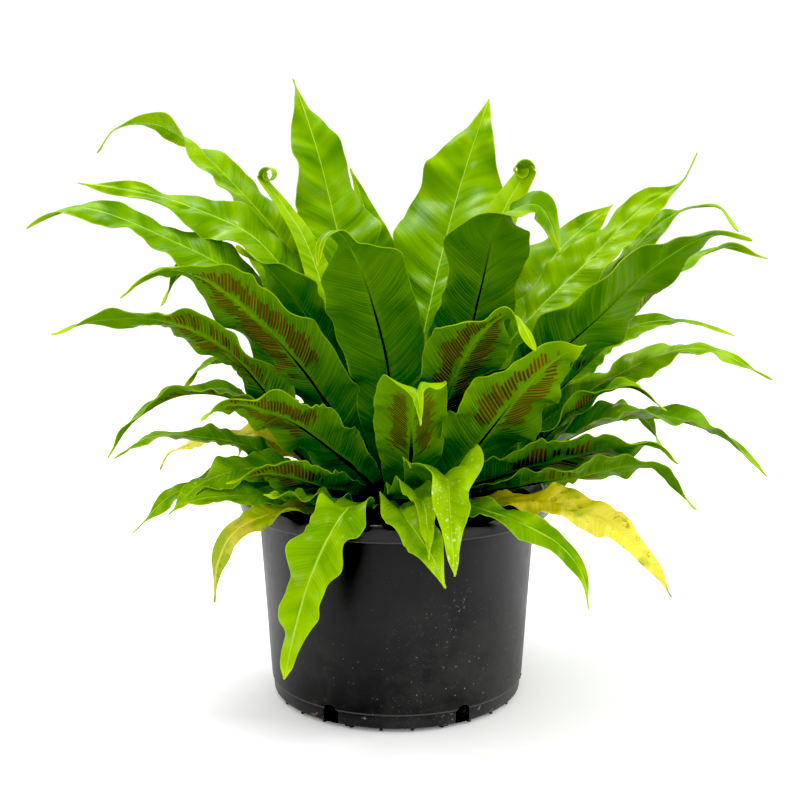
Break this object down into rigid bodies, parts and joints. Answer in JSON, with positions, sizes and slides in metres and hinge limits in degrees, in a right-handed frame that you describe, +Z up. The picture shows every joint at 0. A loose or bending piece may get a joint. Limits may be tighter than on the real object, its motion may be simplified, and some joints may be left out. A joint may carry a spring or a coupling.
{
  "type": "potted bird's nest fern",
  "caption": "Bird's nest fern with long pointed wavy fronds spreading from one crown, in a round plastic nursery pot filled with soil.",
  "frame": {"origin": "middle of the pot's underside, on the floor", "axes": "+Z up, the picture's view looks along +Y with +X to the right"},
  "size_m": [0.7065, 0.496, 0.5892],
  "materials": {
    "pot": "satin black moulded plastic, dusty",
    "soil": "coarse dark potting mix",
    "crown": "dark brown scaly rhizome",
    "frond": "waxy yellow-green leaf, darker under",
    "old_frond": "yellowed leaf with green mottling"
  },
  "bodies": {
    "root": {"pot": "pot", "soil": "soil", "crown": "crown", "frond_01": "frond", "frond_02": "frond", "frond_03": "frond", "frond_04": "frond", "frond_05": "frond", "frond_06": "frond", "frond_07": "frond", "frond_08": "frond", "frond_09": "frond", "frond_10": "frond", "frond_11": "frond", "frond_12": "old_frond", "frond_13": "frond", "frond_14": "frond", "frond_15": "frond", "frond_16": "frond", "frond_17": "old_frond", "frond_18": "frond", "frond_19": "frond", "frond_20": "frond", "frond_21": "frond", "frond_22": "frond", "frond_23": "frond", "frond_24": "frond", "frond_25": "frond", "frond_26": "frond", "frond_27": "frond", "frond_28": "frond", "frond_29": "frond", "frond_30": "frond", "frond_31": "frond", "frond_32": "frond", "frond_33": "frond", "frond_34": "frond", "frond_35": "frond", "frond_36": "frond", "frond_37": "frond", "frond_38": "frond", "frond_39": "frond", "frond_40": "frond", "frond_41": "frond", "frond_42": "frond", "frond_43": "frond", "frond_44": "old_frond", "frond_45": "frond", "frond_46": "frond", "frond_47": "frond", "frond_48": "frond", "frond_49": "frond", "frond_50": "frond", "frond_51": "frond", "frond_52": "frond", "frond_53": "frond", "frond_54": "frond", "frond_55": "frond", "frond_56": "frond"}
  },
  "joints": []
}
